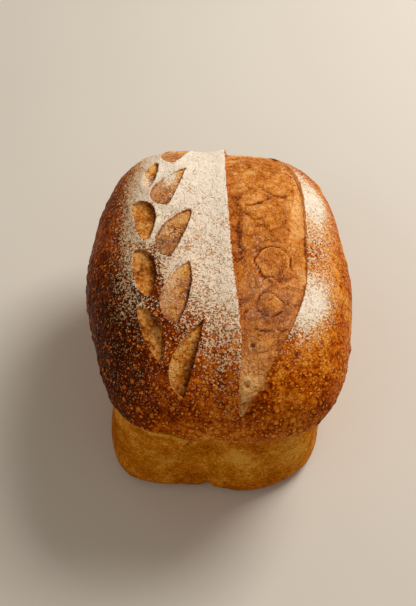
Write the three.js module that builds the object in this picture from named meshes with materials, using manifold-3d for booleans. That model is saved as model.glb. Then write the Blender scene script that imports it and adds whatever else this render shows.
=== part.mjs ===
// Sourdough loaf baked in a small tin: a domed dark crust over straight tin-baked sides, one long
// torn slash and two columns of leaf cuts. One solid.
// Millimetres. X is the width, Y the length with the front end at -Y, Z is up.
// The flat bottom rests on Z = 0 and the outline is centred over the origin.
import * as THREE from 'three';
import { mergeVertices } from 'three/addons/utils/BufferGeometryUtils.js';
import Module from 'manifold-3d';

// Lower part, shaped by the tin
const FLOOR_HALF_WIDTH = 61.0;
const FLOOR_HALF_LENGTH = 80.8;
const RIM_HALF_WIDTH = 56.5;
const RIM_HALF_LENGTH = 76.0;
const RIM_HEIGHT = 52.0;
const FOOT_RADIUS = 9.0;
const BASE_SQUARENESS = 5.0;
// Bulge of the front face, right of the middle
const LOBE = { size: 6.8, x: 17.0, width: 22.0 };

// Upper part, risen freely over the tin's edge
const DOME_HALF_WIDTH = 69.0;
const DOME_HALF_LENGTH = 92.0;
const DOME_HEIGHT = 73.0;
const DOME_RISE = 44.5;
const DOME_SQUARENESS = 3.4;
const DOME_CURVE = 2.5;
// The back left shoulder stands a little higher
const SHOULDER = 11.0;
const SHOULDER_CURVE = 1.5;

// Share of the dome's push that is left at the rim of the lower part
const PUSH_AT_RIM = 0.4;

// Uneven outline: each row pushes the dome and the base outward around one direction, in radians
const PUSH_WIDTH = 0.55;
const PUSHES = [
  { angle: -2.30, dome: -4.6, base: 3.8 },
  { angle: -0.84, dome: -4.0, base: -6.1 },
  { angle: 2.30, dome: 2.8, base: 0.0 },
  { angle: 0.84, dome: -6.8, base: 0.0 },
  { angle: 0.00, dome: 0.4, base: 0.0 },
  { angle: Math.PI, dome: 6.2, base: 0.0 },
];

// Moves the finished form so that its outline is centred over the origin
const CENTRE_SHIFT = [3.4, -0.95];

// Long slash: stations from the back end to the front tip, each with Y and the X of both edges
const SLASH = [
  [91.2, -0.4, 13.5],
  [88.5, -1.2, 17.5],
  [84.5, -1.6, 21.5],
  [80.0, -1.7, 25.2],
  [75.0, -1.8, 28.8],
  [68.0, -1.6, 33.4],
  [60.0, -1.2, 37.0],
  [45.0, -0.5, 40.5],
  [26.0, 0.7, 41.6],
  [6.0, 2.3, 41.8],
  [-12.0, 3.8, 41.6],
  [-27.0, 5.7, 40.2],
  [-42.0, 7.7, 35.8],
  [-54.0, 8.9, 30.8],
  [-65.0, 9.3, 25.2],
  [-76.0, 8.4, 19.2],
  [-86.0, 9.0, 10.4],
];
const SLASH_STEP = 4.5;
const SLASH_UNDERCUT = 1.2;
const SLASH_LEFT_DEPTH = 3.0;
const SLASH_RIGHT_DEPTH = 0.6;
const SLASH_MIDDLE_DEPTH = 0.5;
const SLASH_SWELL = 2.2;
// The slash's floor is worked out this far past its edges
const SLASH_REACH = 6.0;
// Towards both ends the torn floor comes up to the crust's edges, to this share of its depth
const SLASH_BACK = 50.0;
const SLASH_FRONT = -40.0;
const SLASH_END_SHARE = 0.35;
const LIP_HEIGHT = 1.7;
const LIP_WIDTH = 7.0;
const LIP_LOWER_RIGHT = 0.75;
// Where the slash is narrower than this, the lips fade out
const LIP_FADE = 12.0;

// Leaf cuts: foot and tip, how far the left and right sides swell, and where along the length.
// A fuller one is more pointed. A puffed one has risen again in its middle.
const LEFT = 0;
const RIGHT = 1;
const LEAVES = [
  { foot: [-42.0, 38.3], tip: [-39.0, 60.5], swell: [5.0, 2.4], at: [0.4, 0.55], full: 1.3 },
  { foot: [-39.8, 2.3], tip: [-49.9, 29.0], swell: [3.4, 8.9], at: [0.33, 0.63], full: 1.5 },
  { foot: [-36.3, -32.2], tip: [-46.8, -2.9], swell: [5.0, 7.3], at: [0.36, 0.61], full: 1.5 },
  { foot: [-30.3, -66.7], tip: [-42.3, -36.9], swell: [3.2, 6.3], at: [0.56, 0.47], full: 1.5 },
  { foot: [-30.5, 58.0], tip: [-22.0, 85.5], swell: [10.0, 2.9], at: [0.45, 0.45], full: 1.2, puffed: true },
  { foot: [-31.4, 23.7], tip: [-22.8, 52.0], swell: [12.2, 1.2], at: [0.3, 0.45], full: 1.4, puffed: true },
  { foot: [-27.6, -10.4], tip: [-19.3, 20.3], swell: [11.5, 2.4], at: [0.4, 0.72], full: 1.4, puffed: true },
  { foot: [-23.1, -48.5], tip: [-18.3, -13.6], swell: [10.7, 3.8], at: [0.41, 0.5], full: 1.5, puffed: true },
  { foot: [-18.3, -80.7], tip: [-9.6, -46.4], swell: [10.2, 1.0], at: [0.32, 0.4], full: 1.5 },
];
const LEAF_POINTS = 9;
const LEAF_UNDERCUT = 0.8;
// A leaf's floor is worked out this far from its middle, as a multiple of its half size
const LEAF_REACH = 2.0;
const LEAF_DEEP = 2.9;
const LEAF_SHALLOW = 0.7;
const PUFF_MIDDLE = 0.4;
const PUFF_LEFT = 0.8;
const PUFF_RIGHT = 1.8;
const PUFF_CURVE = 3;

// How finely the faces are divided
const GRID_X = 34;
const GRID_Y = 44;
const UNDER_RINGS = 6;
const WALL_RINGS = 3;
const FOOT_RINGS = 3;

// Volumes that cut the slash and leaves reach from above the loaf to this far below its crust
const CUT_TOP = 140.0;
const CUT_BELOW = 8.0;
const SIMPLIFY = 0.02;
const MERGE = 0.001;

function clamp(value, low, high) {
  return Math.min(high, Math.max(low, value));
}

function wrapAngle(angle) {
  return Math.atan2(Math.sin(angle), Math.cos(angle));
}

// Outward push of the dome or the base at an angle around the loaf
function pushAt(angle, kind) {
  let total = 0;
  for (const push of PUSHES) {
    total += push[kind] * Math.exp(-((wrapAngle(angle - push.angle) / PUSH_WIDTH) ** 2));
  }
  return total;
}

// A square (u, v in -1..1) laid onto a rounded square of the same size
function roundedSquare(u, v, n) {
  return [
    u * (1 - Math.abs(v) ** n / 2) ** (1 / n),
    v * (1 - Math.abs(u) ** n / 2) ** (1 / n),
  ];
}

function radial(x, y, distance) {
  const angle = Math.atan2(y, x);
  return [x + distance * Math.cos(angle), y + distance * Math.sin(angle)];
}

// Plan position of a point of the dome's grid
function domePlan(u, v) {
  const [x, y] = roundedSquare(u, v, DOME_SQUARENESS);
  const n = DOME_SQUARENESS;
  const rho = Math.min(1, (Math.abs(x) ** n + Math.abs(y) ** n) ** (1 / n));
  const eased = Math.sin(rho * Math.PI / 2);
  const stretch = rho > 1e-9 ? eased / rho : Math.PI / 2;
  const px = x * stretch * DOME_HALF_WIDTH;
  const py = y * stretch * DOME_HALF_LENGTH;
  return radial(px, py, pushAt(Math.atan2(py, px), 'dome') * eased * eased);
}

// Height of the smooth dome over a plan position: the push is undone first
function domeHeight(x, y) {
  const n = DOME_SQUARENESS;
  const far = Math.hypot(x, y) + 1e-9;
  const acrossUnit = Math.abs(x / far / DOME_HALF_WIDTH) ** n;
  const alongUnit = Math.abs(y / far / DOME_HALF_LENGTH) ** n;
  const unit = (acrossUnit + alongUnit) ** (1 / n);
  const push = pushAt(Math.atan2(y, x), 'dome') * unit * unit;
  let inner = far;
  if (Math.abs(push) > 1e-9) {
    inner = (Math.sqrt(Math.max(0, 1 + 4 * push * far)) - 1) / (2 * push);
  }
  const r = Math.min(1, inner * unit);
  const lift = clamp(((-x / DOME_HALF_WIDTH) + (y / DOME_HALF_LENGTH)) / 2, 0, 1) ** SHOULDER_CURVE;
  return DOME_HEIGHT + DOME_RISE * (1 - r ** DOME_CURVE) ** 0.5 + SHOULDER * lift * (1 - r ** 4);
}

function domeNormal(x, y) {
  const step = 0.5;
  const dx = (domeHeight(x + step, y) - domeHeight(x - step, y)) / (2 * step);
  const dy = (domeHeight(x, y + step) - domeHeight(x, y - step)) / (2 * step);
  return new THREE.Vector3(-dx, -dy, 1).normalize();
}

// X of the slash's left (column 1) or right (column 2) edge at a Y, or null past its ends
function slashEdge(y, column) {
  for (let i = 0; i + 1 < SLASH.length; i += 1) {
    if (y <= SLASH[i][0] && y >= SLASH[i + 1][0]) {
      const t = (SLASH[i][0] - y) / (SLASH[i][0] - SLASH[i + 1][0]);
      return SLASH[i][column] + t * (SLASH[i + 1][column] - SLASH[i][column]);
    }
  }
  return null;
}

// Both edges of the slash through its stations, anticlockwise seen from above
function slashOutline() {
  const back = SLASH[0][0];
  const front = SLASH[SLASH.length - 1][0];
  const count = Math.round((back - front) / SLASH_STEP);
  const left = [];
  const right = [];
  for (let i = 0; i <= count; i += 1) {
    const y = back + (front - back) * i / count;
    left.push([slashEdge(y, 1), y]);
    right.push([slashEdge(y, 2), y]);
  }
  return [...left, ...right.reverse()];
}

// How far one side of a leaf stands out from its axis, t from foot to tip
function leafSwell(leaf, side, t) {
  const at = leaf.at[side];
  const rise = leaf.full * at;
  const fall = leaf.full * (1 - at);
  return leaf.swell[side] * (t ** rise) * ((1 - t) ** fall) / ((at ** rise) * ((1 - at) ** fall));
}

function leafPoint(leaf, side, t) {
  const ax = leaf.tip[0] - leaf.foot[0];
  const ay = leaf.tip[1] - leaf.foot[1];
  const length = Math.hypot(ax, ay);
  const out = leafSwell(leaf, side, t) * (side === LEFT ? 1 : -1);
  return [leaf.foot[0] + ax * t - ay / length * out, leaf.foot[1] + ay * t + ax / length * out];
}

function leafOutline(leaf) {
  const points = [];
  for (let i = 0; i <= LEAF_POINTS; i += 1) {
    points.push(leafPoint(leaf, RIGHT, (1 - Math.cos(Math.PI * i / LEAF_POINTS)) / 2));
  }
  for (let i = LEAF_POINTS - 1; i > 0; i -= 1) {
    points.push(leafPoint(leaf, LEFT, (1 - Math.cos(Math.PI * i / LEAF_POINTS)) / 2));
  }
  return points;
}

// A leaf's floor at a point: how far the point is from the leaf's middle, 1 at its sides, and the
// floor's depth. It slants, deep along the right side, or is puffed up in the middle.
function leafFloor(leaf, x, y) {
  const ax = leaf.tip[0] - leaf.foot[0];
  const ay = leaf.tip[1] - leaf.foot[1];
  const length = Math.hypot(ax, ay);
  const along = ((x - leaf.foot[0]) * ax + (y - leaf.foot[1]) * ay) / (length * length);
  const across = ((x - leaf.foot[0]) * ay - (y - leaf.foot[1]) * ax) / length;
  const place = (across + leaf.swell[LEFT]) / (leaf.swell[LEFT] + leaf.swell[RIGHT]);
  const away = Math.hypot(2 * along - 1, 2 * place - 1);
  const s = clamp(place, 0, 1);
  if (leaf.puffed) {
    const side = s < 0.5 ? PUFF_LEFT : PUFF_RIGHT;
    return { away, depth: PUFF_MIDDLE + (side - PUFF_MIDDLE) * Math.abs(2 * s - 1) ** PUFF_CURVE };
  }
  return { away, depth: LEAF_SHALLOW + (LEAF_DEEP - LEAF_SHALLOW) * s };
}

// Depth of the floor below the smooth dome: the slash is deep along both edges and swells between
function floorDepth(x, y) {
  const inside = clamp(y, SLASH[SLASH.length - 1][0], SLASH[0][0]);
  const left = slashEdge(inside, 1);
  const right = slashEdge(inside, 2);
  if (Math.abs(y - inside) < SLASH_REACH && x > left - SLASH_REACH && x < right + SLASH_REACH) {
    const t = clamp((x - left) / Math.max(1, right - left), 0, 1);
    const toBack = clamp((y - SLASH_BACK) / (SLASH[0][0] - SLASH_BACK), 0, 1);
    const toFront = clamp((y - SLASH_FRONT) / (SLASH[SLASH.length - 1][0] - SLASH_FRONT), 0, 1);
    const share = 1 - (1 - SLASH_END_SHARE) * Math.max(toBack, toFront);
    const edgeDepth = (SLASH_LEFT_DEPTH + (SLASH_RIGHT_DEPTH - SLASH_LEFT_DEPTH) * t) * share;
    return SLASH_MIDDLE_DEPTH + (edgeDepth - SLASH_MIDDLE_DEPTH) * Math.abs(2 * t - 1) ** SLASH_SWELL;
  }
  const floors = LEAVES.map((leaf) => leafFloor(leaf, x, y));
  const nearest = floors.reduce((a, b) => (a.away < b.away ? a : b));
  return nearest.away < LEAF_REACH ? nearest.depth : 0;
}

// The crust curls up along both edges of the slash
function lipRise(x, y) {
  const left = slashEdge(y, 1);
  if (left === null) {
    return 0;
  }
  const right = slashEdge(y, 2);
  const middle = (left + right) / 2;
  const outside = x < middle ? Math.max(0, left - x) : Math.max(0, x - right);
  const ends = clamp((right - left) / LIP_FADE, 0, 1);
  const across = clamp((x - left) / Math.max(1, right - left), 0, 1);
  return LIP_HEIGHT * (1 - LIP_LOWER_RIGHT * across) * ends * Math.exp(-((outside / LIP_WIDTH) ** 2));
}

// Rings below the dome's edge: the tucked underside, the straight walls and the rounded foot
function ringSizes() {
  const rings = [];
  for (let i = 1; i <= UNDER_RINGS; i += 1) {
    const t = i / UNDER_RINGS;
    const tuck = (1 - Math.cos(Math.PI * t)) / 2;
    rings.push({
      a: DOME_HALF_WIDTH + (RIM_HALF_WIDTH - DOME_HALF_WIDTH) * tuck,
      b: DOME_HALF_LENGTH + (RIM_HALF_LENGTH - DOME_HALF_LENGTH) * tuck,
      n: DOME_SQUARENESS + (BASE_SQUARENESS - DOME_SQUARENESS) * tuck,
      z: DOME_HEIGHT + (RIM_HEIGHT - DOME_HEIGHT) * t,
      dome: 1 - (1 - PUSH_AT_RIM) * tuck,
      base: tuck,
    });
  }
  const wall = (z, inset, dome) => ({
    a: FLOOR_HALF_WIDTH + (RIM_HALF_WIDTH - FLOOR_HALF_WIDTH) * z / RIM_HEIGHT - inset,
    b: FLOOR_HALF_LENGTH + (RIM_HALF_LENGTH - FLOOR_HALF_LENGTH) * z / RIM_HEIGHT - inset,
    n: BASE_SQUARENESS,
    z,
    dome,
    base: 1,
  });
  for (let i = 1; i <= WALL_RINGS; i += 1) {
    const t = i / WALL_RINGS;
    rings.push(wall(RIM_HEIGHT + (FOOT_RADIUS - RIM_HEIGHT) * t, 0, PUSH_AT_RIM * (1 - t)));
  }
  for (let i = 1; i <= FOOT_RINGS; i += 1) {
    const t = i / FOOT_RINGS * Math.PI / 2;
    rings.push(wall(FOOT_RADIUS * (1 - Math.sin(t)), FOOT_RADIUS * (1 - Math.cos(t)), 0));
  }
  return rings;
}

function ringPoint(u, v, ring) {
  const [x, y] = roundedSquare(u, v, ring.n);
  const px = x * ring.a;
  const py = y * ring.b;
  const angle = Math.atan2(py, px);
  const out = radial(px, py, pushAt(angle, 'dome') * ring.dome + pushAt(angle, 'base') * ring.base);
  if (out[1] < 0) {
    out[1] -= LOBE.size * ring.base * Math.exp(-(((out[0] - LOBE.x) / LOBE.width) ** 2));
  }
  return [out[0], out[1], ring.z];
}

// Steps around the square's border, anticlockwise from its front left corner
function borderSteps() {
  const steps = [];
  for (let i = 0; i < GRID_X; i += 1) {
    steps.push([i, 0]);
  }
  for (let j = 0; j < GRID_Y; j += 1) {
    steps.push([GRID_X, j]);
  }
  for (let i = GRID_X; i > 0; i -= 1) {
    steps.push([i, GRID_Y]);
  }
  for (let j = GRID_Y; j > 0; j -= 1) {
    steps.push([0, j]);
  }
  return steps;
}

// The whole loaf as one closed surface. offset(x, y) moves the dome along its normal.
function loafSolid(wasm, offset) {
  const positions = [];
  const triangles = [];
  const top = (i, j) => j * (GRID_X + 1) + i;
  for (let j = 0; j <= GRID_Y; j += 1) {
    for (let i = 0; i <= GRID_X; i += 1) {
      const u = 2 * i / GRID_X - 1;
      const v = 2 * j / GRID_Y - 1;
      const [x, y] = domePlan(u, v);
      const onBorder = i === 0 || j === 0 || i === GRID_X || j === GRID_Y;
      if (onBorder) {
        positions.push(x, y, DOME_HEIGHT);
      } else {
        const normal = domeNormal(x, y);
        const by = offset(x, y);
        positions.push(x + normal.x * by, y + normal.y * by, domeHeight(x, y) + normal.z * by);
      }
      if (i < GRID_X && j < GRID_Y) {
        triangles.push(top(i, j), top(i + 1, j), top(i + 1, j + 1));
        triangles.push(top(i, j), top(i + 1, j + 1), top(i, j + 1));
      }
    }
  }
  const border = borderSteps();
  let above = border.map(([i, j]) => top(i, j));
  for (const ring of ringSizes()) {
    const below = border.map(([i, j]) => {
      positions.push(...ringPoint(2 * i / GRID_X - 1, 2 * j / GRID_Y - 1, ring));
      return positions.length / 3 - 1;
    });
    for (let k = 0; k < border.length; k += 1) {
      const next = (k + 1) % border.length;
      triangles.push(above[k], below[k], below[next]);
      triangles.push(above[k], below[next], above[next]);
    }
    above = below;
  }
  positions.push(0, 0, 0);
  const centre = positions.length / 3 - 1;
  for (let k = 0; k < border.length; k += 1) {
    triangles.push(above[(k + 1) % border.length], above[k], centre);
  }
  return solidFrom(wasm, positions, triangles);
}

function solidFrom(wasm, positions, triangles) {
  return new wasm.Manifold(new wasm.Mesh({
    numProp: 3,
    vertProperties: new Float32Array(positions),
    triVerts: new Uint32Array(triangles),
  }));
}

// Volume that removes everything above the floor inside an outline. Its wall meets the crust on
// the outline and runs a little outward below it, so the crust's edge is undercut.
function cutterSolid(wasm, outline, undercut) {
  const shape = outline.map(([x, y]) => new THREE.Vector2(x, y));
  if (THREE.ShapeUtils.area(shape) < 0) {
    shape.reverse();
  }
  const count = shape.length;
  const positions = [];
  for (const point of shape) {
    positions.push(point.x, point.y, CUT_TOP);
  }
  for (const point of shape) {
    positions.push(point.x, point.y, domeHeight(point.x, point.y) + LIP_HEIGHT * 0.5);
  }
  for (let k = 0; k < count; k += 1) {
    const before = shape[(k + count - 1) % count];
    const after = shape[(k + 1) % count];
    const along = after.clone().sub(before).normalize();
    const normal = domeNormal(shape[k].x, shape[k].y);
    positions.push(
      shape[k].x + along.y * undercut - normal.x * CUT_BELOW,
      shape[k].y - along.x * undercut - normal.y * CUT_BELOW,
      domeHeight(shape[k].x, shape[k].y) - normal.z * CUT_BELOW,
    );
  }
  const triangles = [];
  for (let level = 0; level < 2; level += 1) {
    for (let k = 0; k < count; k += 1) {
      const next = (k + 1) % count;
      const upper = level * count;
      const lower = upper + count;
      triangles.push(upper + k, lower + k, lower + next);
      triangles.push(upper + k, lower + next, upper + next);
    }
  }
  for (const [a, b, c] of THREE.ShapeUtils.triangulateShape(shape, [])) {
    triangles.push(a, b, c);
    triangles.push(2 * count + a, 2 * count + c, 2 * count + b);
  }
  return solidFrom(wasm, positions, triangles);
}

const wasm = await Module();
wasm.setup();

const crust = loafSolid(wasm, lipRise);
const floors = loafSolid(wasm, (x, y) => -floorDepth(x, y));
let cutters = cutterSolid(wasm, slashOutline(), SLASH_UNDERCUT);
for (const leaf of LEAVES) {
  cutters = cutters.add(cutterSolid(wasm, leafOutline(leaf), LEAF_UNDERCUT));
}
const loafBody = crust.subtract(cutters.subtract(floors)).simplify(SIMPLIFY);

const cut = loafBody.getMesh();
const raw = new THREE.BufferGeometry();
raw.setAttribute('position', new THREE.BufferAttribute(new Float32Array(cut.vertProperties), 3));
raw.setIndex(new THREE.BufferAttribute(new Uint32Array(cut.triVerts), 1));
const geometry = mergeVertices(raw, MERGE);
geometry.translate(CENTRE_SHIFT[0], CENTRE_SHIFT[1], 0);
geometry.computeVertexNormals();

const loaf = new THREE.Mesh(
  geometry,
  new THREE.MeshStandardMaterial({ color: '#8a4b1c', roughness: 0.8 }),
);
loaf.name = 'loaf';

const group = new THREE.Group();
group.name = 'sourdough_loaf';
group.add(loaf);

export default group;
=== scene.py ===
import math
from functools import partial, reduce
from itertools import product
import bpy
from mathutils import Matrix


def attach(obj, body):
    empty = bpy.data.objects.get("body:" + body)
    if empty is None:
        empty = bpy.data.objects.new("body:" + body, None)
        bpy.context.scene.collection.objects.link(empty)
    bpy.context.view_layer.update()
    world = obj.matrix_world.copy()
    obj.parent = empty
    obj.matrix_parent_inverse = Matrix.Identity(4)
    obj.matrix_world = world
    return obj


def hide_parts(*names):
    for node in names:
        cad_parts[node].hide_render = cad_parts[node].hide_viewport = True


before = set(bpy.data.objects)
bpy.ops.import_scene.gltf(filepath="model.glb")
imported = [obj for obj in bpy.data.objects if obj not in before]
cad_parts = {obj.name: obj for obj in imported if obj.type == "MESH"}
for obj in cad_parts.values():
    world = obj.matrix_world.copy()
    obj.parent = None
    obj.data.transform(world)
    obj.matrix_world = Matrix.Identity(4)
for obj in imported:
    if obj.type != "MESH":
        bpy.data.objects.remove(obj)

from types import SimpleNamespace

import bpy
import numpy as np
from mathutils import Matrix, Vector, geometry

# Sourdough loaf baked in a small tin. Sizes are millimetres until the mesh is made, in the loaf's
# frame: X across, Y along with the front end at -Y, Z up from the flat bottom.
MM = 0.001

# Lower part, shaped by the tin
FLOOR_HALF_WIDTH = 61.0
FLOOR_HALF_LENGTH = 80.8
RIM_HALF_WIDTH = 56.5
RIM_HALF_LENGTH = 76.0
RIM_HEIGHT = 52.0
FOOT_RADIUS = 9.0
BASE_SQUARENESS = 5.0
LOBE_SIZE = 6.8
LOBE_X = 17.0
LOBE_WIDTH = 22.0

# Upper part, with a shoulder that lifts its left back
DOME_HALF_WIDTH = 69.0
DOME_HALF_LENGTH = 92.0
DOME_HEIGHT = 73.0
DOME_RISE = 44.5
DOME_SQUARENESS = 3.4
DOME_CURVE = 2.5
SHOULDER = 11.0
SHOULDER_POWER = 1.5
SHOULDER_FALL = 4

# Uneven outline: direction in radians, push of the dome, push of the base
PUSH_WIDTH = 0.55
PUSH_AT_RIM = 0.4
PUSHES = (
    (-2.30, -4.6, 3.8),
    (-0.84, -4.0, -6.1),
    (2.30, 2.8, 0.0),
    (0.84, -6.8, 0.0),
    (0.00, 0.4, 0.0),
    (math.pi, 6.2, 0.0),
)
CENTRE_SHIFT = (3.4, -0.95)

# Long slash: Y, X of the left edge, X of the right edge. Its floor rises beyond SLASH_BACK and
# SLASH_FRONT, and swells up along its middle.
SLASH = (
    (91.2, -0.4, 13.5),
    (88.5, -1.2, 17.5),
    (84.5, -1.6, 21.5),
    (80.0, -1.7, 25.2),
    (75.0, -1.8, 28.8),
    (68.0, -1.6, 33.4),
    (60.0, -1.2, 37.0),
    (45.0, -0.5, 40.5),
    (26.0, 0.7, 41.6),
    (6.0, 2.3, 41.8),
    (-12.0, 3.8, 41.6),
    (-27.0, 5.7, 40.2),
    (-42.0, 7.7, 35.8),
    (-54.0, 8.9, 30.8),
    (-65.0, 9.3, 25.2),
    (-76.0, 8.4, 19.2),
    (-86.0, 9.0, 10.4),
)
SLASH_UNDERCUT = 1.2
SLASH_LEFT_DEPTH = 3.0
SLASH_RIGHT_DEPTH = 0.6
SLASH_MIDDLE_DEPTH = 0.5
SLASH_LEAST_DEPTH = 0.4
SLASH_SWELL_POWER = 2.2
SLASH_BACK = 50.0
SLASH_FRONT = -40.0
SLASH_END_SHARE = 0.35
SLASH_REACH = 6.0
SLASH_END_REACH = 5.0
SLASH_GRAIN = 0.2
LIP_HEIGHT = 1.7
LIP_WIDTH = 7.0
LIP_LOWER_RIGHT = 0.75
LIP_FULL_FROM = 12.0

# Leaf cuts: foot, tip, swell of the left and right side, where along the length, fullness, and
# whether its floor has risen again in the middle
LEAVES = (
    ((-42.0, 38.3), (-39.0, 60.5), 5.0, 2.4, 0.4, 0.55, 1.3, False),
    ((-39.8, 2.3), (-49.9, 29.0), 3.4, 8.9, 0.33, 0.63, 1.5, False),
    ((-36.3, -32.2), (-46.8, -2.9), 5.0, 7.3, 0.36, 0.61, 1.5, False),
    ((-30.3, -66.7), (-42.3, -36.9), 3.2, 6.3, 0.56, 0.47, 1.5, False),
    ((-30.5, 58.0), (-22.0, 85.5), 10.0, 2.9, 0.45, 0.45, 1.2, True),
    ((-31.4, 23.7), (-22.8, 52.0), 12.2, 1.2, 0.3, 0.45, 1.4, True),
    ((-27.6, -10.4), (-19.3, 20.3), 11.5, 2.4, 0.4, 0.72, 1.4, True),
    ((-23.1, -48.5), (-18.3, -13.6), 10.7, 3.8, 0.41, 0.5, 1.5, True),
    ((-18.3, -80.7), (-9.6, -46.4), 10.2, 1.0, 0.32, 0.4, 1.5, False),
)
# Paler or darker leaf floors: left, right, foot, tip. Their darker right sides and tips are partly painted
# shadow of the cuts' deep walls.
LEAF_TONES = (
    (0.16, 0.00, 0.10, -0.06),
    (0.02, -0.04, 0.08, -0.04),
    (0.02, -0.04, -0.02, -0.06),
    (-0.08, 0.10, 0.12, -0.14),
    (0.06, -0.06, 0.00, 0.00),
    (0.10, -0.04, -0.22, 0.26),
    (0.06, -0.12, -0.18, 0.04),
    (0.12, -0.12, -0.06, 0.04),
    (0.28, -0.30, 0.08, -0.02),
)
LEAF_POINTS = 26
LEAF_UNDERCUT = 0.8
LEAF_REACH = 2.0
LEAF_DEEP = 2.9
LEAF_SHALLOW = 0.7
LEAF_LEAST_DEPTH = 0.3
PUFF_MIDDLE = 0.4
PUFF_LEFT = 0.8
PUFF_RIGHT = 1.8
PUFF_POWER = 3
RIM_RISE = 0.7
RIM_SPREAD = 2.4

# Round wrinkles in the torn crust: centre, radius across and along, start and end angle
ARCS = (
    (24.8, -12.0, 8.2, 9.4, -0.2, 4.4),
    (23.8, -26.5, 5.0, 5.2, 0.5, 2.7),
    (22.9, -35.5, 5.6, 4.2, 0.1, 3.1),
    (22.8, -36.4, 5.2, 4.6, 3.6, 5.9),
    (19.2, -44.2, 4.3, 4.6, 3.9, 5.6),
    (28.6, -43.6, 3.6, 4.4, 3.9, 5.4),
    (13.0, 34.5, 6.0, 7.0, 4.4, 6.0),
    (28.0, 44.0, 7.5, 8.0, 3.9, 5.3),
)
ARC_WIDTH = 0.7
ARC_GROOVE = 1.2
ARC_GROOVE_WIDTH = 0.6
ARC_HEIGHT = 0.65
ARC_BEFORE_END = 0.25
ARC_PAST_END = 0.35

# Tears that run down the torn crust: points along each, and their depth
TEARS = (
    (((5.6, 33.0), (6.4, 18.0), (7.0, 3.0), (8.6, -10.0)), 0.4),
    (((4.4, 28.3), (8.0, 21.3), (14.9, 18.3), (20.1, 14.3), (24.0, 7.0)), 0.5),
    (((3.0, 12.6), (7.3, 6.1), (7.9, -5.7), (5.0, -6.5)), 0.6),
    (((16.3, -1.0), (16.0, -10.0), (16.6, -22.0), (14.0, -30.0)), 0.45),
    (((10.5, 60.0), (16.0, 56.0), (24.0, 58.0)), 0.4),
    (((27.0, 80.0), (32.0, 72.0), (34.8, 66.0)), 0.5),
    (((21.3, 38.1), (25.6, 36.6), (32.0, 36.0)), 0.5),
    (((3.8, -2.7), (5.5, -12.2), (8.0, -9.6)), 0.6),
    (((10.0, 44.0), (14.0, 38.0), (15.5, 31.0)), 0.5),
    (((26.0, 28.0), (30.0, 22.0), (31.5, 16.0)), 0.45),
    (((-38.2, -54.1), (-36.5, -56.3), (-33.1, -58.7)), 0.7),
)
TEAR_WIDTH = 0.75

# Overlapping fold at the torn crust's right side: the crust left of it lies higher
FOLD = (
    (27.6, 76.2), (32.6, 61.7), (36.0, 52.1), (36.6, 41.4),
    (35.4, 32.6), (34.3, 22.2), (33.2, 12.5), (32.5, 1.0),
)
FOLD_STEP = 2.0
FOLD_X = 35.0

# Small open bubbles in the torn crust: X, Y, radius
HOLES = (
    (14.5, -58.1, 1.5),
    (10.9, -40.4, 1.2),
    (12.1, -75.2, 1.5),
    (10.9, -82.5, 0.8),
    (32.7, 12.2, 1.0),
    (21.5, 33.0, 0.8),
    (27.0, -52.0, 0.8),
    (31.6, 64.5, 1.2),
    (34.6, 57.5, 1.4),
    (36.6, 50.0, 1.1),
)
HOLE_DEPTH = 1.6

# Creases in the front face: X and Z of the long one under the overhang, and each one's depth
OVERHANG_CREASE = (
    (-50.0, 55.0), (-48.0, 63.0), (-44.0, 67.0), (-35.0, 70.5),
    (-25.0, 75.0), (-19.0, 71.5), (-14.0, 62.0),
)
BASE_CREASES = ((((-12.0, 57.0), (-15.0, 47.0), (-20.0, 41.0)), 1.1), (OVERHANG_CREASE, 0.9))
CREASE_WIDTH = 1.1
CREASE_LIP_AWAY = 2.2
CREASE_LIP_WIDTH = 1.2

# Front face: rough patch and bottom notch as X, Z and their reach along X and Z
ROUGH_PATCH = (6.0, 11.0, 20.0, 9.0)
ROUGH_HEIGHT = 0.7
NOTCH = (-7.0, 3.0, 3.0, 7.0)
NOTCH_DEPTH = 2.4

# Lower edge of the dark crust across the front face: X and Z
FRONT_LINE = (
    (-62.0, 65.0),
    (-54.0, 65.5),
    (-46.0, 68.0),
    (-40.0, 70.5),
    (-35.0, 72.5),
    (-30.0, 75.0),
    (-24.6, 77.0),
    (-19.0, 73.5),
    (-14.0, 64.0),
    (-3.0, 54.0),
    (10.0, 56.0),
    (22.0, 60.0),
    (38.0, 63.0),
    (51.0, 68.0),
    (60.0, 70.0),
)
BORDER_ABOVE_RIM = 7.5

# Bare rib of crust between the two columns of leaves
STALK = (
    (-50.0, 3.5), (-37.0, -4.0), (-34.5, -18.0), (-33.8, -32.0),
    (-28.5, -46.0), (-22.5, -60.0), (-19.0, -72.0),
)
STALK_WIDTH = 3.6

# Crust blisters: spacing, height, seed
BLISTER_SIZES = ((4.6, 0.66, 3), (3.0, 0.42, 4))

# Soft patches: middle X and Y, reach along X and Y, and amount. The front face has X and Z
# instead, and the last two have no amount of their own.
BAKE_PATCHES = (
    (-54, -48, 24, 34, 0.27),
    (46, -58, 26, 22, -0.06),
    (24, -76, 26, 20, -0.13),
    (18, -82, 7, 6, 0.20),
    (54, -74, 8, 9, 0.26),
    (62, -38, 6, 12, 0.20),
)
FACE_TONES = (
    (10, 38, 8, 8, 0.44),
    (-20, 46, 4, 5, 0.20),
    (44, 30, 13, 18, 0.26),
    (-50, 50, 7, 14, 0.12),
    # This patch is a painted highlight on the lip under the overhang.
    (-30, 69, 14, 5, 0.26),
    (8, 12, 22, 8, -0.16),
    (-44, 12, 16, 9, -0.10),
)
TORN_TONES = ((22, -22, 16, 28, -0.18), (16, -50, 12, 14, -0.10))
BORDER_DROPS = ((-56, -74, 14, 22, 11), (56, -70, 20, 22, 4))
LEAF_DUST = ((-31, 46, 5, 9, 0.85), (-44, 44, 4, 9, 0.80), (-28, -24, 5, 12, 0.40), (-29, 8, 5, 9, 0.30))
LEAF_FILM = ((-32, 44, 5, 8, 0.4),)
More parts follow.
